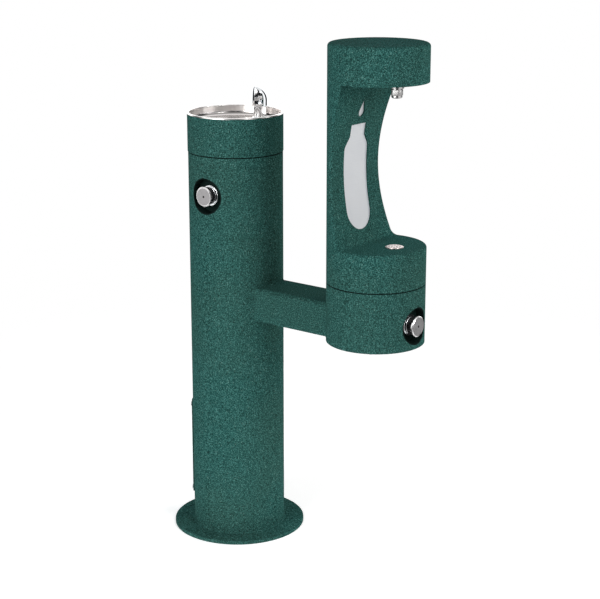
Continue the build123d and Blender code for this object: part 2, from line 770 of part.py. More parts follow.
def bubbler_tube():
    start_z = fountain_button_z + port_reach - port_depth + tube_end_gap
    end_z = bubbler_pad_z - bubbler_shank_length + port_depth - tube_end_gap
    shank_end = bubbler_pad_z - bubbler_shank_length
    turns = [shank_end - drop for drop in bubbler_tube_drops]
    return pipe_run([(0, supply_y, start_z), (0, supply_y, turns[0]), (bubbler_tube_side, 0, turns[1]),
                     (bubbler_x, bubbler_y, turns[2]), (bubbler_x, bubbler_y, end_z)],
                    tube_radius, tube_wall)


def filler_supply_tube():
    start_x = tee_half_length - port_depth + tube_end_gap
    end_y = -port_reach + port_depth - tube_end_gap
    return pipe_run([(start_x, supply_y, tee_z), (tube_turn_in, supply_y, tee_z),
                     (pipe_radius + tube_wall_gap, tube_arm_y, tee_z),
                     (filler_x - filler_bore + tube_can_gap, tube_arm_y, tee_z + tube_arm_climb),
                     (filler_x - tube_valve_run, -tube_valve_reach, filler_button_z),
                     (filler_valve_x, -tube_valve_reach, filler_button_z),
                     (filler_valve_x, end_y, filler_button_z)], tube_radius, tube_wall)


def nozzle_tube():
    behind_x = filler_x + alcove_deepest_x - alcove_sheet - riser_gap
    start_y = port_reach - port_depth + tube_end_gap
    end_z = head_bottom_z + nozzle_shank_length - port_depth + tube_end_gap
    return pipe_run([(filler_valve_x, start_y, filler_button_z),
                     (filler_valve_x, riser_reach, filler_button_z),
                     (filler_valve_x, riser_reach, filler_button_z + riser_climb),
                     (behind_x, riser_y, filler_seam_z + riser_turn),
                     (behind_x, riser_y, head_bottom_z + riser_top),
                     (nozzle_x, 0, head_bottom_z + riser_over), (nozzle_x, 0, end_z)],
                    tube_radius, tube_wall)


# ------------------------------------------------------------------ arm
def arm_tube():
    width = 2 * arm_half_width
    section = RectangleRounded(arm_height, width, arm_corner_radius)
    hollow = RectangleRounded(arm_height - 2 * arm_wall, width - 2 * arm_wall,
                              arm_corner_radius - arm_wall)
    along_arm = Plane(origin=(0, 0, arm_middle_z), x_dir=(0, 0, 1), z_dir=(1, 0, 0)).location
    tube = along_arm * extrude(section - hollow, filler_x)
    for centre_x in (0, filler_x):
        tube -= disc(pipe_radius + weld_gap, arm_bottom_z - past, arm_top_z + past, centre_x)
    return tube


# ------------------------------------------------------------------ bottle filler
def filler_can():
    can = ring(pipe_radius, filler_bore, filler_bottom_z, filler_seam_z, filler_x)
    can -= cup_hole(0, filler_button_z, filler_x)
    can -= arm_passage(filler_x)
    top = filler_bottom_z + can_cover_thickness + weld_gap
    for x, y in cover_screw_places():
        tab = disc(cover_tab_radius, top, top + cover_tab_length, x, y)
        tab &= disc(filler_bore + past, filler_bottom_z, filler_seam_z, filler_x)
        can += tab - disc(panel_screw_radius + weld_gap, top - past, top + cover_tab_length + past, x, y)
    return can


def cover_screw_places():
    for index in range(cover_screw_count):
        x, y = polar(filler_bore - cover_screw_inset, cover_first_bearing + index * 360 / cover_screw_count)
        yield filler_x + x, y


def can_cover():
    top = filler_bottom_z + can_cover_thickness
    plate = disc(filler_bore - weld_gap, filler_bottom_z, top, filler_x)
    for x, y in cover_screw_places():
        plate -= disc(panel_screw_radius + screw_clearance, filler_bottom_z - past, top + past, x, y)
    return plate


def can_cover_screws():
    screws = []
    for x, y in cover_screw_places():
        seat = filler_bottom_z - weld_gap
        low = seat - screw_head_height
        shank = disc(panel_screw_radius, seat, filler_bottom_z + panel_screw_length, x, y)
        head = disc(screw_head_radius, low, seat, x, y)
        head = fillet(head.edges().group_by(Axis.Z)[0], screw_head_round)
        socket = hexagon(screw_socket_across, low - past, low + screw_socket_depth, x, y)
        screws.append(head + shank - socket)
    return screws


def alcove_space(grow=0.0):
    """Room for the bottle: a hollow curve seen from the side, cut right across the column."""
    front_x = filler_x + pipe_radius + well_past
    back_x = filler_x - pipe_radius
    low, high = platform_z - grow, head_bottom_z
    curve = Pos(filler_x + alcove_deepest_x + alcove_radius, alcove_middle_z)
    outline = curve * Circle(alcove_radius + grow)
    outline &= Pos((front_x + back_x) / 2, (low + high) / 2) * Rectangle(front_x - back_x, high - low)
    corner = outline.vertices().group_by(Axis.Y)[0].sort_by(Axis.X)[0]
    outline = fillet(corner, alcove_corner_radius + grow)
    return extrude(Plane.XZ * outline, 2 * pipe_radius, both=True)


def column_form():
    """Outside of the upper column, solid, with the alcove cut and its edge rounded."""
    low = filler_seam_z + seam_gap
    high = head_top_z - head_cap_height
    form = disc(pipe_radius, low, high, filler_x) - alcove_space()
    rim = []
    for edge in form.edges():
        middle = edge @ 0.5
        reach = math.hypot(middle.X - filler_x, middle.Y)
        in_alcove = platform_z - past < middle.Z < head_bottom_z - past
        if in_alcove and reach > pipe_radius - past / 2 and edge.geom_type != GeomType.LINE:
            rim.append(edge)
    return fillet(rim, alcove_rim_round)


def column_shell(form):
    return form - disc(filler_bore, filler_seam_z, head_top_z, filler_x)


def alcove_panel(form):
    """Bent sheet that closes the alcove: curved back, corner and flat bottle platform."""
    inside = disc(filler_bore - weld_gap, filler_seam_z, head_bottom_z, filler_x)
    sheet = (form & inside) & alcove_space(alcove_sheet)
    sheet -= extruded_outline(bottle_outline())
    sheet -= extruded_outline(drop_outline())
    return sheet - disc(platform_drain_radius + drain_clearance, platform_z - well_past,
                        platform_z + well_past, nozzle_x)


def extruded_outline(outline):
    flat = Plane.YZ * outline
    return Pos(filler_x - pipe_radius, 0, 0) * extrude(flat, pipe_radius)


def bottle_outline():
    neck_z = bottle_top_z - bottle_neck_height
    shoulder_z = neck_z - bottle_shoulder_height
    right = [(bottle_neck_half_width, bottle_top_z), (bottle_neck_half_width, neck_z),
             (bottle_half_width, shoulder_z), (bottle_half_width, bottle_bottom_z)]
    left = [(-y, z) for y, z in reversed(right)]
    outline = make_face(Polyline(*right, *left, close=True))
    lowest = outline.vertices().group_by(Axis.Y)[0]
    outline = fillet(lowest, bottle_half_width - bottle_bottom_flat)
    shoulders = outline.vertices().filter_by(lambda v: abs(v.Y - shoulder_z) < 0.01)
    outline = fillet(shoulders, bottle_shoulder_round)
    necks = outline.vertices().filter_by(lambda v: abs(v.Y - neck_z) < 0.01)
    return fillet(necks, bottle_neck_round)


def drop_outline():
    centre_z = drop_bottom_z + drop_radius
    share = drop_radius / (drop_tip_z - centre_z)
    side_y = drop_radius * math.sqrt(1 - share * share)
    side_z = centre_z + drop_radius * share
    tip = Polygon((0, drop_tip_z), (-side_y, side_z), (side_y, side_z), align=None)
    return Pos(0, centre_z) * Circle(drop_radius) + tip


def sign_plate():
    """Pale sheet behind the bottle and drop openings."""
    back = alcove_sheet + weld_gap
    sheet = alcove_space(back + sign_sheet) - alcove_space(back)
    side = bottle_half_width + sign_margin
    window = block((filler_x - pipe_radius, filler_x), (-side, side),
                   (bottle_bottom_z - sign_margin, drop_tip_z + sign_margin))
    return sheet & window


def head_floor():
    back_x = filler_x + alcove_deepest_x + alcove_radius
    rise = head_bottom_z - alcove_middle_z
    back_x -= math.sqrt(alcove_radius ** 2 - rise ** 2) + alcove_sheet
    plate = disc(filler_bore - weld_gap, head_bottom_z, head_bottom_z + alcove_sheet, filler_x)
    plate &= block((back_x, filler_x + pipe_radius), (-pipe_radius, pipe_radius),
                   (head_bottom_z, head_bottom_z + alcove_sheet))
    return plate - disc(nozzle_shank_radius + drain_clearance, head_bottom_z - past,
                        head_bottom_z + well_past, nozzle_x)


def head_cap():
    low = head_top_z - head_cap_height
    cap = disc(pipe_radius, low, head_top_z, filler_x)
    cap = fillet(cap.edges().group_by(Axis.Z)[-1], head_edge_round)
    hollow = disc(filler_bore, low - past, head_top_z - filler_wall, filler_x)
    hollow = fillet(hollow.edges().group_by(Axis.Z)[-1], head_edge_round - filler_wall)
    return cap - hollow


def nozzle_body():
    low = head_bottom_z - nozzle_height
    body = disc(nozzle_radius, low, head_bottom_z)
    body = chamfer(body.edges().group_by(Axis.Z)[0], nozzle_chamfer)
    flange = disc(nozzle_flange_radius, head_bottom_z - nozzle_flange_height, head_bottom_z)
    body += fillet(flange.edges().group_by(Axis.Z)[0], nozzle_flange_round)
    body += disc(nozzle_shank_radius, head_bottom_z, head_bottom_z + nozzle_shank_length)
    body -= disc(water_bore_radius, low - past, head_bottom_z + nozzle_shank_length)
    body -= disc(aerator_radius + drain_clearance / 2, low - past, low + aerator_recess)
    top = head_bottom_z + nozzle_shank_length
    return Pos(nozzle_x, 0, 0) * (body - disc(socket_bore, top - port_depth, top + past))


def nozzle_aerator():
    low = head_bottom_z - nozzle_height + aerator_setback
    plug = disc(aerator_radius, low, head_bottom_z - nozzle_height + aerator_recess, nozzle_x)
    for share, count in aerator_rings:
        for index in range(count):
            x, y = polar(share * aerator_radius, index * 360 / count)
            plug -= disc(aerator_hole_radius, low - past, low + well_past, nozzle_x + x, y)
    return plug


def nozzle_nut():
    low = head_bottom_z + alcove_sheet
    return nut(nozzle_nut_across, nozzle_shank_radius + thread_fit, low, low + nozzle_nut_height, nozzle_x)


# ------------------------------------------------------------------ write every piece
os.makedirs("parts", exist_ok=True)
save("base_flange", base_flange())
save("pedestal_tube", pedestal_tube())
save("collar_coupling", coupling(pedestal_bore, collar_bore, pipe_radius, collar_seam_z))
save("top_collar", top_collar())
save("basin", basin())
save("basin_strainer", strainer(basin_drain_lip_radius, floor_centre_z, 0))
save("basin_tailpiece", basin_tailpiece())
save("basin_drain_nut", basin_drain_nut())
save("waste_pipe", waste_pipe())
save("waste_bracket", waste_bracket())
save("bubbler_neck", bubbler_neck())
save("bubbler_hood", bubbler_hood())
save("bubbler_jet", bubbler_jet())
save("bubbler_nut", bubbler_nut())
save("access_panel", access_panel())
save("access_gasket", access_gasket())
save("panel_screws", *panel_screws())
save("inlet_pipe", inlet_pipe())
save("stop_valve", stop_valve())
save("stop_handle", stop_handle())
save("stop_handle_nut", stop_handle_nut())
save("supply_tee", supply_tee())
save("supply_riser", *supply_riser())
save("bubbler_tube", bubbler_tube())
save("filler_supply_tube", filler_supply_tube())
save("nozzle_tube", nozzle_tube())
save("arm_tube", arm_tube())

fountain_side = outward(-90, fountain_button_z)
filler_side = Pos(filler_x, 0, 0) * outward(0, filler_button_z)
for unit, place, turn in (("fountain", fountain_side, 0), ("filler", filler_side, 90)):
    save(f"{unit}_button_cup", place * button_cup())
    save(f"{unit}_button_bezel", place * button_bezel())
    save(f"{unit}_button", place * button_cap())
    save(f"{unit}_plunger", place * button_plunger())
    save(f"{unit}_return_spring", place * return_spring())
    save(f"{unit}_valve", place * Rot(0, 0, turn) * push_valve())
    save(f"{unit}_valve_nut", place * valve_nut())

upper_column = column_form()
save("filler_can", filler_can())
save("can_cover", can_cover())
save("can_cover_screws", *can_cover_screws())
save("filler_coupling", Pos(filler_x, 0, 0) * coupling(filler_bore, filler_bore, pipe_radius, filler_seam_z))
save("column_shell", column_shell(upper_column))
save("alcove_panel", alcove_panel(upper_column))
save("sign_plate", sign_plate())
save("head_floor", head_floor())
save("head_cap", head_cap())
save("nozzle_body", nozzle_body())
save("nozzle_aerator", nozzle_aerator())
save("nozzle_nut", nozzle_nut())
save("platform_drain", platform_drain())
save("platform_strainer", strainer(platform_drain_lip_radius, platform_z, nozzle_x))
save("drain_hose", drain_hose())
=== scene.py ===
import math

import bmesh
import bpy
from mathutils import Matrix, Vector


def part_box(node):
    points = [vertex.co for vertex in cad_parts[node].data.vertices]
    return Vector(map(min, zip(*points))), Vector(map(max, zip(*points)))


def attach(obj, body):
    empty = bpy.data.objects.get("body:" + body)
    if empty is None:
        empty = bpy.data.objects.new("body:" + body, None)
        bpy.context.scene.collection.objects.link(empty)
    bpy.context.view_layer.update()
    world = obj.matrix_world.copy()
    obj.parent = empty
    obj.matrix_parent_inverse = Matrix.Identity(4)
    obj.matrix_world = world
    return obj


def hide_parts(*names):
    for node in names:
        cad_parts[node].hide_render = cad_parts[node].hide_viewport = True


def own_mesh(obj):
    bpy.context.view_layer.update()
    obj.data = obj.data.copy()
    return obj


# Pedestal drinking fountain with a bottle filler on a side arm, in metres, +Z up.
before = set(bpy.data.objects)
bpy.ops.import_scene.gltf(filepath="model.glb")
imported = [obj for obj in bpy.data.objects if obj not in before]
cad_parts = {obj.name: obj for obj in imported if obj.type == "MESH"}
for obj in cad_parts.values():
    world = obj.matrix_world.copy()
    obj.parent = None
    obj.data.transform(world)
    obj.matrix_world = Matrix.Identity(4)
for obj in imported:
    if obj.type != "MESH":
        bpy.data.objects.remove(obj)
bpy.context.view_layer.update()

MM = 0.001
FULL_TURN = 2 * math.pi


# ------------------------------------------------------------------ shader writing
class Reading:
    """The output of a shader node, which takes part in plain arithmetic."""

    def __init__(self, shader, socket):
        self.shader = shader
        self.socket = socket

    def maths(self, operation, first, second):
        return self.shader.node("ShaderNodeMath", {"operation": operation}, {0: first, 1: second})

    def other(self, output):
        """Another output of the same node."""
        return Reading(self.shader, self.socket.node.outputs[output])

    def __add__(self, other):
        return self.maths("ADD", self, other)

    def __radd__(self, other):
        return self.maths("ADD", other, self)

    def __sub__(self, other):
        return self.maths("SUBTRACT", self, other)

    def __rsub__(self, other):
        return self.maths("SUBTRACT", other, self)

    def __mul__(self, other):
        return self.maths("MULTIPLY", self, other)

    def __rmul__(self, other):
        return self.maths("MULTIPLY", other, self)


class ShaderTree:
    """Writes shader nodes into the tree of a material or of the room."""

    def __init__(self, tree):
        self.tree = tree
        self.tree.nodes.clear()

    def feed(self, target, value):
        if isinstance(value, Reading):
            self.tree.links.new(value.socket, target)
        else:
            target.default_value = value

    def node(self, kind, settings=None, sockets=None, output=0):
        """Add a node: its settings first, then the values or links of its sockets."""
        made = self.tree.nodes.new(kind)
        for name, value in (settings or {}).items():
            if name == "stops":
                self.set_stops(made.color_ramp, value)
            else:
                setattr(made, name, value)
        for name, value in (sockets or {}).items():
            self.feed(made.inputs[name], value)
        return Reading(self, made.outputs[output]) if made.outputs else None

    def set_stops(self, ramp, stops):
        while len(ramp.elements) < len(stops):
            ramp.elements.new(0.5)
        for element, (position, colour) in zip(ramp.elements, stops):
            element.position = position
            element.color = (*colour, 1.0)

    def place(self):
        """Place on the object, in metres."""
        return self.node("ShaderNodeTexCoord", output=3)

    def noise(self, scale, detail=2.0, roughness=0.5, place=None):
        return self.node("ShaderNodeTexNoise", {"noise_dimensions": "3D"},
                         {"Vector": place or self.place(), "Scale": scale,
                          "Detail": detail, "Roughness": roughness})

    def dots(self, scale):
        """Distance from the nearest of many scattered points."""
        return self.node("ShaderNodeTexVoronoi", {"feature": "F1"},
                         {"Vector": self.place(), "Scale": scale, "Randomness": 1.0})

    def between(self, value, low, high, start=0.0, end=1.0):
        """How far the value lies between low and high, as a number from start to end."""
        return self.node("ShaderNodeMapRange", {"clamp": True, "interpolation_type": "SMOOTHSTEP"},
                         {"Value": value, "From Min": low, "From Max": high,
                          "To Min": start, "To Max": end})

    def band(self, value, rise, fall):
        """One inside a band: it grows over the first span and fades over the second."""
        return self.between(value, *rise) * self.between(value, *fall)

    def ramp(self, value, stops):
        return self.node("ShaderNodeValToRGB", {"stops": stops}, {"Fac": value})

    def mix(self, share, first, second):
        """Colour that goes from the first to the second as the share goes from 0 to 1."""
        first, second = (colour if isinstance(colour, Reading) else (*colour, 1.0)
                         for colour in (first, second))
        return self.node("ShaderNodeMix", {"data_type": "RGBA"}, {0: share, 6: first, 7: second}, 2)

    def vector(self, operation, first, second=(0.0, 0.0, 0.0), output=0):
        return self.node("ShaderNodeVectorMath", {"operation": operation},
                         {0: first, 1: second}, output)

    def scaled(self, vector, factor):
        return self.node("ShaderNodeVectorMath", {"operation": "SCALE"},
                         {0: vector, "Scale": factor})

    def bump(self, height, depth, strength):
        return self.node("ShaderNodeBump", None,
                         {"Height": height, "Distance": depth, "Strength": strength})

    def blend(self, share, first, second):
        """Shader that goes from the first to the second as the share goes from 0 to 1."""
        return self.node("ShaderNodeMixShader", None, {0: share, 1: first, 2: second})


class Finish(ShaderTree):
    """One material and its shader tree."""

    def __init__(self, name):
        self.material = bpy.data.materials.new(name)
        self.material.use_nodes = True
        super().__init__(self.material.node_tree)

    def off_axis(self, centre, along):
        """Offset from the centre, and its part square to the axis."""
        offset = self.vector("SUBTRACT", self.place(), tuple(centre))
        return offset, self.vector("MULTIPLY", offset, tuple(1.0 - part for part in along))

    def turned_place(self, centre, along, marks_per_metre, around=4.0):
        """Place on a turned surface: fast across the tool marks and slow along them."""
        offset, flat = self.off_axis(centre, along)
        radius = self.vector("LENGTH", flat, output=1)
        height = self.vector("DOT_PRODUCT", offset, tuple(along), output=1)
        heading = self.scaled(self.vector("NORMALIZE", flat), around)
        mark = self.scaled(tuple(along), (radius + height) * marks_per_metre)
        return self.vector("ADD", heading, mark)

    def stretched(self, *scales):
        """Place drawn out along one axis, for marks that run one way."""
        return self.vector("MULTIPLY", self.place(), scales)

    def surface(self, **sockets):
        """Principled surface. An underscore stands for a space in a socket's name."""
        named = {name.replace("_", " "): value for name, value in sockets.items()}
        shader = self.node("ShaderNodeBsdfPrincipled", None, named)
        self.node("ShaderNodeOutputMaterial", None, {"Surface": shader})
        return self.material


def linear(red, green, blue):
    """Display colour, 0 to 255, as the light it stands for."""
    parts = [part / 255 for part in (red, green, blue)]
    return tuple(part / 12.92 if part <= 0.04045 else ((part + 0.055) / 1.055) ** 2.4
                 for part in parts)


# ------------------------------------------------------------------ finishes
coat_grain = 1 / (2.3 * MM)
coat_flecks = 1 / (5.5 * MM)
bowl_rings = 1 / (0.7 * MM)
button_rings = 1 / (0.35 * MM)

# Heights from the rim of a bowl, as the spans over which each band of painted shade grows and
# fades.
bowl_shaded_wall = ((-20 * MM, -13 * MM), (-1.5 * MM, -3 * MM))
bowl_shaded_corner = ((-22.5 * MM, -21 * MM), (-14 * MM, -19 * MM))

# Distances on a button's face: from its edge in to the polished rim, and from its centre out to
# where the dimple's painted shade fades.
button_rim = (3.6 * MM, 2.6 * MM)
button_shaded_dimple = (2.9 * MM, 2.2 * MM)


def evergreen_powder_coat():
    """Rough textured powder coat: dark pits, teal body, pale flecks."""
    finish = Finish("evergreen_powder_coat")
    grain = finish.noise(coat_grain, 2.0, 0.65)
    body = finish.ramp(grain, [(0.35, linear(18, 40, 38)), (0.48, linear(36, 76, 72)),
                               (0.56, linear(48, 96, 91)), (0.67, linear(82, 132, 125))])
    drift = finish.between(finish.noise(4.0, 3.0), 0.35, 0.65)
    body = finish.mix(drift * 0.22, body, linear(52, 70, 58))
    fleck = finish.between(finish.dots(coat_flecks), 0.24, 0.14)
    chosen = finish.between(finish.noise(coat_flecks * 0.6, 1.0), 0.50, 0.58)
    body = finish.mix(fleck * chosen * 0.5, body, linear(118, 162, 152))
    pit = finish.between(finish.dots(coat_flecks * 1.25), 0.22, 0.12)
    body = finish.mix(pit * (1 - chosen) * 0.6, body, linear(10, 28, 26))
    height = grain + fleck * chosen * 0.3 - pit * 0.3
    return finish.surface(Base_Color=body, Roughness=0.70 + grain * 0.25, Specular_IOR_Level=0.006,
                          Normal=finish.bump(height, 0.3 * MM, 0.6))


def spun_stainless(name, node, dull, bright, roughness):
    """Spun stainless sheet with fine polishing rings, and painted shade up its walls and in its
    corner.
    """
    low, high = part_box(node)
    finish = Finish(name)
    rings = finish.noise(1.0, 3.0, 0.65,
                         finish.turned_place((low + high) / 2, (0, 0, 1), bowl_rings))
    cloud = finish.noise(22.0, 3.0)
    from_rim = finish.node("ShaderNodeSeparateXYZ", None, {0: finish.place()}, 2) - high.z
    # Painted shade: the walls darken towards the dull colour and the corner towards dark
    # grey-brown, standing in for shadow.
    shaded_wall = finish.band(from_rim, *bowl_shaded_wall)
    corner = finish.band(from_rim, *bowl_shaded_corner)
    colour = finish.mix(rings * 0.2 + cloud * 0.2, linear(*bright), linear(*dull))
    colour = finish.mix(shaded_wall * (0.3 + cloud * 0.4), colour, linear(*dull))
    colour = finish.mix(corner * 0.7, colour, linear(96, 88, 84))
    return finish.surface(Base_Color=colour, Metallic=1.0,
                          Roughness=roughness + rings * 0.06 + shaded_wall * 0.14 + cloud * 0.04,
                          Normal=finish.bump(rings, 0.01 * MM, 0.2))


def polished_chrome():
    """Mirror plating with faint water marks."""
    finish = Finish("polished_chrome")
    haze = finish.noise(60.0, 4.0)
    spots = finish.between(finish.dots(150.0), 0.16, 0.08)
    mark = finish.between(haze, 0.50, 0.72) * 0.6 + spots * 0.25
    colour = finish.mix(mark * 0.5, linear(236, 238, 240), linear(206, 210, 214))
    return finish.surface(Base_Color=colour, Metallic=1.0, Roughness=0.045 + mark * 0.10,
                          Normal=finish.bump(haze, 0.02 * MM, 0.25))


def button_steel(node, dull, bright):
    """Turned button: fine rings on the face, a polished rim and painted shade in its centre dimple.
    """
    low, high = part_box(node)
    centre = (low + high) / 2
    extent = high - low
    edge = max(extent) / 2
    along = [0.0, 0.0, 0.0]
    along[min(range(3), key=lambda axis: extent[axis])] = 1.0
    finish = Finish(node + "_steel")
    rings = finish.noise(1.0, 2.0, 0.6, finish.turned_place(centre, along, button_rings, 2.0))
    wear = finish.between(finish.noise(90.0, 4.0), 0.45, 0.75)
    radius = finish.vector("LENGTH", finish.off_axis(centre, along)[1], output=1)
    rim = finish.between(radius, edge - button_rim[0], edge - button_rim[1])
    shaded_dimple = finish.between(radius, *button_shaded_dimple)
    colour = finish.mix(rings, linear(*dull), linear(*bright))
    colour = finish.mix(wear * 0.3, colour, linear(128, 126, 127))
    colour = finish.mix(rim * 0.8, colour, linear(250, 249, 249))
    # Painted shade: the centre dimple goes almost black, standing in for its shadow.
    colour = finish.mix(shaded_dimple * 0.95, colour, linear(10, 10, 11))
    return finish.surface(Base_Color=colour, Metallic=1.0,
                          Roughness=0.30 + rings * 0.14 + wear * 0.08 - rim * 0.10,
                          Normal=finish.bump(rings - shaded_dimple * 4.0, 0.02 * MM, 0.4))


def moulded(name, colour, shade, grain, roughness, depth):
    """Moulded plastic or rubber: fine grain, slightly uneven in tone."""
    finish = Finish(name)
    speck = finish.noise(1 / (grain * MM), 3.0)
    cloud = finish.noise(30.0, 3.0)
    tone = finish.mix(finish.between(speck * 0.5 + cloud * 0.5, 0.35, 0.65),
                      linear(*colour), linear(*shade))
    return finish.surface(Base_Color=tone, Roughness=roughness + cloud * 0.15,
                          Normal=finish.bump(speck, depth * MM, 0.5))


def machined(name, colour, shade, roughness, tarnish):
    """Cast or cut metal with tool marks and a cloudy film."""
    finish = Finish(name)
    marks = finish.noise(1.0, 3.0, 0.6, finish.stretched(900.0, 900.0, 120.0))
    film = finish.between(finish.noise(45.0, 5.0, 0.6), 0.40, 0.70)
    tone = finish.mix(marks, linear(*colour), linear(*shade))
    tone = finish.mix(film * 0.5, tone, linear(*tarnish))
    return finish.surface(Base_Color=tone, Metallic=1.0,
                          Roughness=roughness + film * 0.22 + marks * 0.08,
                          Normal=finish.bump(marks, 0.04 * MM, 0.4))


def sign_satin():
    """Pale satin sheet behind the bottle and the drop."""
    finish = Finish("sign_satin")
    stroke = finish.noise(1.0, 3.0, 0.6, finish.stretched(60.0, 60.0, 1400.0))
    cloud = finish.noise(9.0, 2.0)
    tone = finish.mix(stroke, linear(202, 205, 209), linear(216, 219, 222))
    tone = finish.mix(finish.between(cloud, 0.4, 0.7) * 0.3, tone, linear(194, 198, 203))
    return finish.surface(Base_Color=tone, Roughness=0.55 + stroke * 0.14, Specular_IOR_Level=0.3,
                          Normal=finish.bump(stroke, 0.02 * MM, 0.4))


def seam_black():
    """Painted shade: near-black paint that stands in for the shadow inside seams and recesses."""
    finish = Finish("seam_black")
    grain = finish.noise(coat_grain, 2.0)
    # Painted shade: the near-black tone stands in for the shadow in seams and recesses.
    tone = finish.mix(grain, linear(8, 17, 16), linear(20, 38, 35))
    return finish.surface(Base_Color=tone, Roughness=0.70 + grain * 0.2, Specular_IOR_Level=0.06,
                          Normal=finish.bump(grain, 0.2 * MM, 0.5))


def lever_red():
    """Dipped vinyl on the stop valve's lever."""
    finish = Finish("lever_red")
    ripple = finish.noise(120.0, 3.0)
    scuff = finish.between(finish.noise(300.0, 4.0), 0.58, 0.72)
    tone = finish.mix(ripple, linear(150, 26, 20), linear(182, 40, 30))
    tone = finish.mix(scuff * 0.35, tone, linear(96, 22, 20))
    return finish.surface(Base_Color=tone, Roughness=0.35 + ripple * 0.2,
                          Normal=finish.bump(ripple, 0.15 * MM, 0.4))


FINISHES = {
    "evergreen_powder_coat": evergreen_powder_coat(),
    "basin_stainless": spun_stainless("basin_stainless", "basin",
                                      (212, 204, 200), (255, 254, 253), 0.12),
    "polished_chrome": polished_chrome(),
    "seam_black": seam_black(),
    "sign_satin": sign_satin(),
    "lever_red": lever_red(),
}
# Name, colour, shade, grain in mm, roughness, depth of the grain in mm.
for moulding in (
    ("black_plastic", (26, 27, 29), (42, 43, 46), 0.8, 0.42, 0.06),
    ("drain_hose_rubber", (24, 24, 26), (44, 44, 46), 1.2, 0.6, 0.15),
    ("gasket_rubber", (20, 20, 21), (36, 36, 38), 0.9, 0.7, 0.1),
    ("waste_plastic", (214, 214, 208), (232, 232, 228), 1.5, 0.4, 0.05),
    ("supply_tubing", (196, 202, 208), (222, 228, 232), 2.0, 0.28, 0.04),
):
    FINISHES[moulding[0]] = moulded(*moulding)
# Name, colour, shade, roughness, tarnish.
for metal in (
    ("spring_steel", (128, 129, 132), (164, 165, 168), 0.28, (98, 96, 94)),
    ("valve_brass", (186, 148, 84), (214, 178, 110), 0.26, (142, 108, 62)),
    ("zinc_steel", (150, 153, 158), (182, 186, 192), 0.34, (126, 128, 132)),
    ("screw_steel", (158, 158, 160), (196, 196, 198), 0.24, (120, 120, 122)),
    ("satin_nozzle", (150, 149, 148), (196, 195, 194), 0.24, (128, 127, 127)),
):
    FINISHES[metal[0]] = machined(*metal)

platform_stainless = spun_stainless("platform_stainless", "platform_drain",
                                    (158, 144, 140), (214, 202, 200), 0.22)
# Nodes that look different from the other nodes of their slot.
OWN_FINISHES = {
    "fountain_button": button_steel("fountain_button", (150, 148, 149), (180, 178, 179)),
    "filler_button": button_steel("filler_button", (206, 204, 205), (236, 234, 235)),
    "nozzle_body": FINISHES["satin_nozzle"],
    "platform_drain": platform_stainless,
    "platform_strainer": platform_stainless,
}


def dress_nodes():
    """Give every CAD node its finish, by its own name or by its slot."""
    for name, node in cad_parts.items():
        for index, slot in enumerate(node.data.materials):
            own = OWN_FINISHES.get(name)
            node.data.materials[index] = own or FINISHES[slot.name.split(".")[0]]


# ------------------------------------------------------------------ welds and small fittings
flange_weld_radius = 3.2 * MM
arm_weld_radius = 2.4 * MM
arm_corner = 9 * MM
weld_ripple = 0.10
weld_ripple_step = 1.35
wire_sides = 10

grip_flutes = 40
grip_radius = 12.05 * MM
grip_bore = grip_radius - 0.4 * MM
grip_end = grip_radius + 0.55 * MM
grip_body = grip_radius + 0.75 * MM
grip_chamfer = 0.8 * MM
grip_above_outlet = 6 * MM
grip_below_floor = 13.5 * MM

spring_wire = 0.8 * MM
spring_turns = 6
spring_steps = 36


def piece(name, mesh_builder, finish, body="stand"):
    """New visible piece made with bmesh, in its CAD place, riding on a body."""
    shape = bmesh.new()
    mesh_builder(shape)
    bmesh.ops.recalc_face_normals(shape, faces=shape.faces)
    mesh = bpy.data.meshes.new(name)
    shape.to_mesh(mesh)
    shape.free()
    for polygon in mesh.polygons:
        polygon.use_smooth = True
    mesh.materials.append(FINISHES[finish])
    made = bpy.data.objects.new(name, mesh)
    bpy.context.scene.collection.objects.link(made)
    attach(made, body)
    return made


def wire_ring(shape, centre, out, side, radius):
    """One ring of points round a wire or a weld bead."""
    ring = []
    for step in range(wire_sides):
        angle = FULL_TURN * step / wire_sides
        ring.append(shape.verts.new(centre + out * (radius * math.cos(angle))
                                    + side * (radius * math.sin(angle))))
    return ring


def skin(shape, rings, closed):
    """Faces between neighbouring rings, and from the last ring to the first if closed."""
    following = rings[1:] + (rings[:1] if closed else [])
    for here, there in zip(rings, following):
        for step in range(len(here)):
            after = (step + 1) % len(here)
            shape.faces.new((here[step], here[after], there[after], there[step]))


def bead(shape, points, outward, radius):
    """Closed weld bead along points; each point has its own way out of the corner."""
    rings = []
    count = len(points)
    for index, point in enumerate(points):
        along = (points[(index + 1) % count] - points[index - 1]).normalized()
        out = outward[index] - along * outward[index].dot(along)
        out.normalize()
        size = radius * (1 + weld_ripple * math.sin(index * weld_ripple_step))
        rings.append(wire_ring(shape, point, out, along.cross(out), size))
    skin(shape, rings, closed=True)


def flange_weld(shape):
    """Weld between the base flange and the pedestal tube."""
    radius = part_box("pedestal_tube")[1].x
    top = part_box("base_flange")[1].z
    count = 240
    points = []
    outward = []
    for index in range(count):
        angle = FULL_TURN * index / count
        heading = Vector((math.cos(angle), math.sin(angle), 0))
        points.append(heading * radius + Vector((0, 0, top)))
        outward.append(heading + Vector((0, 0, 1)))
    bead(shape, points, outward, flange_weld_radius)


def arm_weld(shape, axis_x, side):
    """Weld round the arm's end, on the curve where it meets a column."""
    low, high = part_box("arm_tube")
    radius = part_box("pedestal_tube")[1].x
    middle = (low + high) / 2
    half = (high - low) / 2
    points = []
    outward = []
    for y, z, out_y, out_z in rounded_rectangle(half.y, half.z, arm_corner, 200):
        x = axis_x + side * math.sqrt(radius ** 2 - y ** 2)
        points.append(Vector((x, middle.y + y, middle.z + z)))
        column_out = Vector((x - axis_x, y, 0)).normalized()
        outward.append(column_out + Vector((0, out_y, out_z)))
    bead(shape, points, outward, arm_weld_radius)


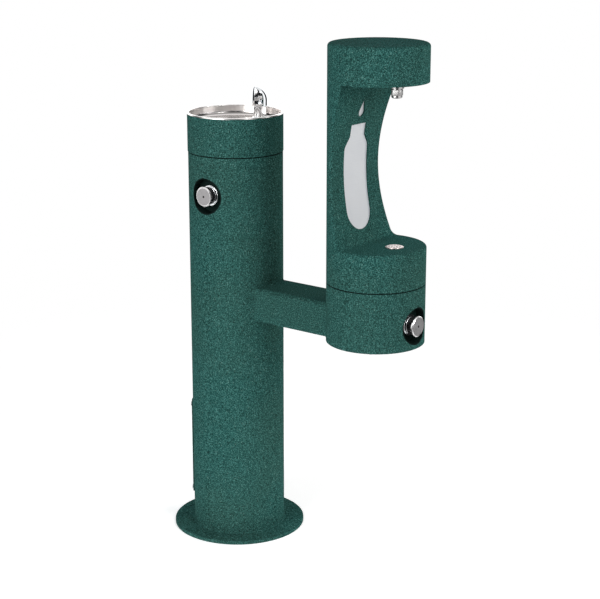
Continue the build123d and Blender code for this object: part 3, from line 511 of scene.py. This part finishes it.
def rounded_rectangle(half_width, half_height, corner, count):
    """Points and outward directions round a rounded rectangle, evenly spaced by length."""
    straight_w = 2 * (half_width - corner)
    straight_h = 2 * (half_height - corner)
    arc = math.pi * corner / 2
    sides = [straight_h, straight_w, straight_h, straight_w]
    total = sum(sides) + 4 * arc
    for index in range(count):
        travel = total * index / count
        turn = 0
        while travel > sides[turn] + arc:
            travel -= sides[turn] + arc
            turn += 1
        lengthwise = half_width if turn % 2 == 0 else half_height
        crosswise = half_height if turn % 2 == 0 else half_width
        if travel <= sides[turn]:
            out = (1.0, 0.0)
            here = (lengthwise, travel - (crosswise - corner))
        else:
            swing = (travel - sides[turn]) / corner
            out = (math.cos(swing), math.sin(swing))
            here = (lengthwise - corner + corner * out[0], crosswise - corner + corner * out[1])
        cosine, sine = math.cos(turn * math.pi / 2), math.sin(turn * math.pi / 2)
        yield (here[0] * cosine - here[1] * sine, here[0] * sine + here[1] * cosine,
               out[0] * cosine - out[1] * sine, out[0] * sine + out[1] * cosine)


def nozzle_grip(shape):
    """Fluted sleeve round the nozzle."""
    low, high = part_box("nozzle_body")
    centre = (low + high) / 2
    bottom = low.z + grip_above_outlet
    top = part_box("head_floor")[0].z - grip_below_floor
    profile = [(grip_bore, bottom), (grip_end, bottom), (grip_body, bottom + grip_chamfer),
               (grip_body, top - grip_chamfer), (grip_end, top), (grip_bore, top)]
    steps = grip_flutes * 6
    rings = []
    for outer, z in profile:
        ring = []
        for step in range(steps):
            angle = FULL_TURN * step / steps
            ridge = 0.5 + 0.5 * math.cos(angle * grip_flutes)
            fluted = grip_radius + (outer - grip_radius) * (0.6 + 0.4 * ridge)
            reach = grip_bore if outer == grip_bore else fluted
            ring.append(shape.verts.new((centre.x + reach * math.cos(angle),
                                         centre.y + reach * math.sin(angle), z)))
        rings.append(ring)
    skin(shape, rings, closed=True)


def return_spring(shape, node, axis):
    """Open coil along the axis, filling the box of its CAD node."""
    low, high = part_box(node)
    across = [index for index in range(3) if index != axis]
    reach = (high[across[0]] - low[across[0]]) / 2 - spring_wire
    length = high[axis] - low[axis] - 2 * spring_wire
    steps = spring_turns * spring_steps
    lengthwise = Vector((0, 0, 0))
    lengthwise[axis] = 1.0
    rings = []
    for index in range(steps + 1):
        angle = FULL_TURN * index / spring_steps
        outward = Vector((0, 0, 0))
        outward[across[0]], outward[across[1]] = math.cos(angle), math.sin(angle)
        centre = (low + high) / 2
        centre[axis] = low[axis] + spring_wire + length * index / steps
        rings.append(wire_ring(shape, centre + outward * reach, outward, lengthwise, spring_wire))
    skin(shape, rings, closed=False)
    shape.faces.new(rings[0])
    shape.faces.new(rings[-1])


def squeezed_spring(unit, axis):
    """Return spring coil built from the box of its CAD node, which it hides; its mesh is its own.
    """
    node = unit + "_return_spring"
    made = piece(unit + "_spring_coil", lambda shape: return_spring(shape, node, axis),
                 "spring_steel")
    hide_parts(node)
    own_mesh(made)


dress_nodes()
squeezed_spring("fountain", 1)
squeezed_spring("filler", 0)
filler_axis_x = sum(corner.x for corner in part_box("column_shell")) / 2
piece("flange_weld", flange_weld, "evergreen_powder_coat")
piece("arm_weld_pedestal", lambda shape: arm_weld(shape, 0.0, 1),
      "evergreen_powder_coat")
piece("arm_weld_filler", lambda shape: arm_weld(shape, filler_axis_x, -1),
      "evergreen_powder_coat")
piece("nozzle_grip", nozzle_grip, "satin_nozzle")


# ------------------------------------------------------------------ floor, backdrop, lights, camera
fountain_centre = (0.2, 0.0, 0.65)
floor_radius = 6.0
floor_fade = (0.5, 2.2)
room_light = 0.30
mirrored_light = 1.35
overhead_light = 0.68
# Dark flags that polished metal mirrors: bearing, half width, soft edge (degrees), light left.
room_flags = ((-54.0, 24.0, 6.0, 0.0), (-154.0, 15.0, 6.0, 0.0),
              (4.0, 14.0, 10.0, 0.75), (55.0, 14.0, 6.0, 0.0))


def studio_floor():
    """Pale round floor that thins out into the backdrop; polished metal doesn't mirror it."""
    shape = bmesh.new()
    bmesh.ops.create_circle(shape, cap_ends=True, segments=96, radius=floor_radius)
    mesh = bpy.data.meshes.new("studio_floor")
    shape.to_mesh(mesh)
    shape.free()
    finish = Finish("studio_floor")
    offset = finish.vector("SUBTRACT", finish.place(), (*fountain_centre[:2], 0.0))
    distance = finish.vector("LENGTH", offset, output=1)
    tone = finish.mix(finish.noise(60.0, 3.0), (0.86, 0.86, 0.86), (0.90, 0.90, 0.90))
    painted = finish.node("ShaderNodeBsdfPrincipled", None,
                          {"Base Color": tone, "Roughness": 0.85, "Specular IOR Level": 0.0,
                           "Emission Color": (1, 1, 1, 1), "Emission Strength": 0.46})
    clear = finish.node("ShaderNodeBsdfTransparent")
    mirrored = finish.node("ShaderNodeLightPath").other("Is Glossy Ray")
    thinning = finish.node("ShaderNodeMath", {"operation": "MAXIMUM"},
                           {0: finish.between(distance, *floor_fade), 1: mirrored})
    finish.node("ShaderNodeOutputMaterial", None,
                {"Surface": finish.blend(thinning, painted, clear)})
    mesh.materials.append(finish.material)
    floor = bpy.data.objects.new("studio_floor", mesh)
    bpy.context.scene.collection.objects.link(floor)


def studio_world():
    """White backdrop; a dim room round the paint; a bright room with flags round the metal."""
    world = bpy.data.worlds.new("studio_world")
    world.use_nodes = True
    room = ShaderTree(world.node_tree)
    direction = room.node("ShaderNodeTexCoord")
    up = room.node("ShaderNodeSeparateXYZ", None, {0: direction}, 2)
    level = room.vector("NORMALIZE", room.vector("MULTIPLY", direction, (1.0, 1.0, 0.0)))
    bright = 1.0
    for bearing, half_width, edge, left in room_flags:
        heading = (math.cos(math.radians(bearing)), math.sin(math.radians(bearing)), 0.0)
        facing = room.vector("DOT_PRODUCT", level, heading, output=1)
        inside = math.cos(math.radians(half_width))
        outside = math.cos(math.radians(half_width + edge))
        bright = bright * room.between(facing, outside, inside, 1.0, left)
    overhead = room.between(up, 0.50, 0.80)
    bright = bright * (1 - overhead) + overhead * overhead_light
    flagged = room.mix(bright, (0.012, 0.012, 0.013), (1.0, 1.0, 1.0))
    for_paint, for_metal, backdrop = (
        room.node("ShaderNodeBackground", None, {"Color": colour, "Strength": strength})
        for colour, strength in (((0.80, 0.84, 0.88, 1), room_light), (flagged, mirrored_light),
                                 ((1, 1, 1, 1), 1.0)))
    rays = room.node("ShaderNodeLightPath")
    unseen = room.blend(rays.other("Is Glossy Ray"), for_paint, for_metal)
    room.node("ShaderNodeOutputWorld", None,
              {"Surface": room.blend(rays.other("Is Camera Ray"), unseen, backdrop)})
    bpy.context.scene.world = world


def aim(thing, place, target):
    """Put a light or the camera in its place, looking at the target."""
    thing.location = place
    thing.rotation_euler = (Vector(target) - Vector(place)).to_track_quat("-Z", "Y").to_euler()


def softbox(name, place, width, height, power, tint=(1.0, 1.0, 1.0), mirrored=True):
    """Soft rectangular light on the fountain, which polished metal mirrors or doesn't."""
    light = bpy.data.lights.new(name, "AREA")
    light.shape = "RECTANGLE"
    light.size = width
    light.size_y = height
    light.energy = power
    light.color = tint
    lamp = bpy.data.objects.new(name, light)
    bpy.context.scene.collection.objects.link(lamp)
    lamp.visible_glossy = mirrored
    lamp.visible_camera = False
    aim(lamp, place, fountain_centre)


def studio_camera():
    camera = bpy.data.cameras.new("studio_camera")
    camera.lens = 93.26
    camera.sensor_width = 36.0
    seat = bpy.data.objects.new("studio_camera", camera)
    bpy.context.scene.collection.objects.link(seat)
    aim(seat, (2.300, -2.709, 1.538), (0.2259, -0.0480, 0.6077))
    bpy.context.scene.camera = seat


studio_floor()
studio_world()
softbox("key_softbox", (0.0, -2.9, 1.45), 1.4, 1.9, 62.0)
softbox("side_softbox", (2.9, -0.5, 1.9), 0.8, 1.6, 40.0)
softbox("rear_softbox", (-1.8, 2.4, 1.5), 1.6, 1.8, 26.0, mirrored=False)
softbox("far_softbox", (1.8, 2.6, 1.2), 0.8, 1.8, 40.0, (1.0, 0.88, 0.80), mirrored=False)
studio_camera()
bpy.context.scene.view_settings.view_transform = "Standard"
